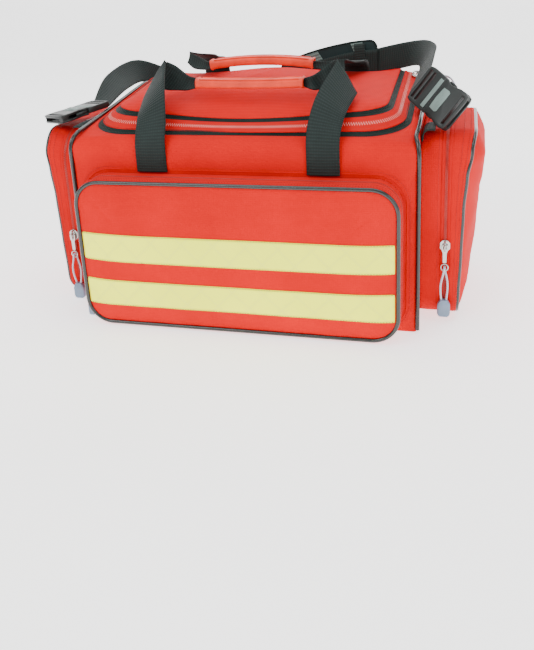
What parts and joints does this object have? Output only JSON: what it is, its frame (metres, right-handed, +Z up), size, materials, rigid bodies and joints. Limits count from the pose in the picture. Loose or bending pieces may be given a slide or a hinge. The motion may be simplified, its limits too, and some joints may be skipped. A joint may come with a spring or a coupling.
{
  "type": "emergency holdall with shoulder strap",
  "caption": "Soft red emergency bag with zipped lid, zipped front and end pockets, reflective bands, two carry handles and a padded shoulder strap.",
  "frame": {"origin": "centre of the bag's base, on the surface that it stands on", "axes": "+X along the length to the bag's right end, +Y to its rear, +Z up"},
  "size_m": [0.576, 0.373, 0.3303],
  "materials": {
    "red_nylon": "fine plain weave, soft sheen",
    "board": "matte",
    "piping": "satin",
    "binding_tape": "ribbed tape",
    "zip_tape": "woven tape",
    "reflective_tape": "fluorescent, slight gloss",
    "webbing": "ribbed webbing",
    "grip_plastic": "soft moulded",
    "strap_pad": "fine weave",
    "buckle_plastic": "moulded, semi-gloss",
    "slider_metal": "nickel plated",
    "pull_cord": "braided cord",
    "pull_tag": "moulded"
  },
  "bodies": {
    "root": {"bottom_panel": "red_nylon", "base_board": "board", "front_panel": "red_nylon", "rear_panel": "red_nylon", "left_end_panel": "red_nylon", "right_end_panel": "red_nylon", "left_body_piping": "piping", "right_body_piping": "piping", "body_binding": "binding_tape", "main_zip_body_side": "zip_tape", "front_pocket_gusset": "red_nylon", "front_pocket_zip_body_side": "zip_tape", "left_pocket_gusset": "red_nylon", "left_pocket_zip_body_side": "zip_tape", "right_pocket_gusset": "red_nylon", "right_pocket_zip_body_side": "zip_tape", "front_handle_anchors": "webbing", "rear_handle_anchors": "webbing", "strap_anchors": "webbing"},
    "lid": {"lid_panel": "red_nylon", "lid_binding": "binding_tape", "main_zip_lid_side": "zip_tape"},
    "front_flap": {"front_pocket_cover": "red_nylon", "front_pocket_piping": "piping", "front_pocket_zip_cover_side": "zip_tape", "reflective_bands": "reflective_tape"},
    "left_flap": {"left_pocket_cover": "red_nylon", "left_pocket_piping": "piping", "left_pocket_zip_cover_side": "zip_tape"},
    "right_flap": {"right_pocket_cover": "red_nylon", "right_pocket_piping": "piping", "right_pocket_zip_cover_side": "zip_tape"},
    "front_handle": {"front_handle_webbing": "webbing", "front_handle_grip": "grip_plastic"},
    "rear_handle": {"rear_handle_webbing": "webbing", "rear_handle_grip": "grip_plastic"},
    "strap": {"shoulder_strap_webbing": "webbing", "shoulder_pad": "strap_pad", "pad_keepers": "webbing", "left_buckle_socket": "buckle_plastic", "left_buckle_plug": "buckle_plastic", "right_buckle_socket": "buckle_plastic", "right_buckle_plug": "buckle_plastic"},
    "right_pocket_slider": {"right_pocket_slider": "slider_metal"},
    "right_pocket_pull_tab": {"right_pocket_pull_tab": "slider_metal"},
    "right_pocket_pull_tag": {"right_pocket_pull_cord": "pull_cord", "right_pocket_pull_tag": "pull_tag"},
    "left_pocket_slider": {"left_pocket_slider": "slider_metal"},
    "left_pocket_pull_tab": {"left_pocket_pull_tab": "slider_metal"},
    "left_pocket_pull_tag": {"left_pocket_pull_cord": "pull_cord", "left_pocket_pull_tag": "pull_tag"},
    "front_pocket_slider": {"front_pocket_slider": "slider_metal"},
    "front_pocket_pull_tab": {"front_pocket_pull_tab": "slider_metal"},
    "front_pocket_pull_tag": {"front_pocket_pull_cord": "pull_cord", "front_pocket_pull_tag": "pull_tag"},
    "main_slider": {"main_slider": "slider_metal"},
    "main_pull_tab": {"main_pull_tab": "slider_metal"},
    "main_pull_tag": {"main_pull_cord": "pull_cord", "main_pull_tag": "pull_tag"}
  },
  "joints": [
    {"name": "lid_hinge", "type": "hinge", "parent": "root", "child": "lid", "pos_m": [0, 0.121, 0.277], "axis": [-1, 0, 0], "range_deg": [0, 75]},
    {"name": "front_handle_swing", "type": "hinge", "parent": "root", "child": "front_handle", "pos_m": [0, -0.143, 0.236], "axis": [1, 0, 0], "range_deg": [0, 158]},
    {"name": "rear_handle_swing", "type": "hinge", "parent": "root", "child": "rear_handle", "pos_m": [0, 0.1425, 0.26], "axis": [-1, 0, 0], "range_deg": [0, 68]},
    {"name": "strap_swing", "type": "hinge", "parent": "root", "child": "strap", "pos_m": [0, -0.088, 0.247], "axis": [1, 0, 0], "range_deg": [0, 75]},
    {"name": "front_pocket_hinge", "type": "hinge", "parent": "root", "child": "front_flap", "pos_m": [0, -0.172, 0.006], "axis": [1, 0, 0], "range_deg": [0, 75]},
    {"name": "left_pocket_hinge", "type": "hinge", "parent": "root", "child": "left_flap", "pos_m": [-0.272, 0, 0.008], "axis": [0, -1, 0], "range_deg": [0, 70]},
    {"name": "right_pocket_hinge", "type": "hinge", "parent": "root", "child": "right_flap", "pos_m": [0.272, 0, 0.008], "axis": [0, 1, 0], "range_deg": [0, 70]},
    {"name": "right_pocket_slide", "type": "slide", "parent": "root", "child": "right_pocket_slider", "axis": [0, 0, 1], "range_m": [-0.006, 0.08]},
    {"name": "right_pocket_tab_hinge", "type": "hinge", "parent": "right_pocket_slider", "child": "right_pocket_pull_tab", "pos_m": [0.2508, -0.112, 0.104], "axis": [-1, 0, 0], "range_deg": [0, 120]},
    {"name": "right_pocket_tag_swing", "type": "hinge", "parent": "right_pocket_pull_tab", "child": "right_pocket_pull_tag", "pos_m": [0.2508, -0.112, 0.077], "axis": [0, -1, 0], "range_deg": [-18, 30]},
    {"name": "left_pocket_slide", "type": "slide", "parent": "root", "child": "left_pocket_slider", "axis": [0, 0, 1], "range_m": [0, 0.085]},
    {"name": "left_pocket_tab_hinge", "type": "hinge", "parent": "left_pocket_slider", "child": "left_pocket_pull_tab", "pos_m": [-0.2508, -0.112, 0.096], "axis": [-1, 0, 0], "range_deg": [0, 120]},
    {"name": "left_pocket_tag_swing", "type": "hinge", "parent": "left_pocket_pull_tab", "child": "left_pocket_pull_tag", "pos_m": [-0.2508, -0.112, 0.069], "axis": [0, -1, 0], "range_deg": [-30, 18]},
    {"name": "front_pocket_slide", "type": "slide", "parent": "root", "child": "front_pocket_slider", "axis": [0, 0, 1], "range_m": [0, 0.09]},
    {"name": "front_pocket_tab_hinge", "type": "hinge", "parent": "front_pocket_slider", "child": "front_pocket_pull_tab", "pos_m": [-0.209, -0.1557, 0.056], "axis": [0, 1, 0], "range_deg": [0, 120]},
    {"name": "front_pocket_tag_swing", "type": "hinge", "parent": "front_pocket_pull_tab", "child": "front_pocket_pull_tag", "pos_m": [-0.209, -0.1557, 0.039], "axis": [-1, 0, 0], "range_deg": [-12, 30]},
    {"name": "main_slide", "type": "slide", "parent": "root", "child": "main_slider", "axis": [0, 0.9945, 0.105], "range_m": [-0.04, 0.006]},
    {"name": "main_tab_hinge", "type": "hinge", "parent": "main_slider", "child": "main_pull_tab", "pos_m": [0.20305, 0.1, 0.28194], "axis": [0, -1, 0], "range_deg": [0, 55]},
    {"name": "main_tag_swing", "type": "hinge", "parent": "main_pull_tab", "child": "main_pull_tag", "pos_m": [0.22843, 0.1, 0.27271], "axis": [0.3419, 0, 0.9397], "range_deg": [-25, 0]}
  ],
  "couplings": [
    {"joint": "front_handle_swing", "follows": "lid_hinge", "ratio": 2.1},
    {"joint": "rear_handle_swing", "follows": "lid_hinge", "ratio": 0.88}
  ]
}
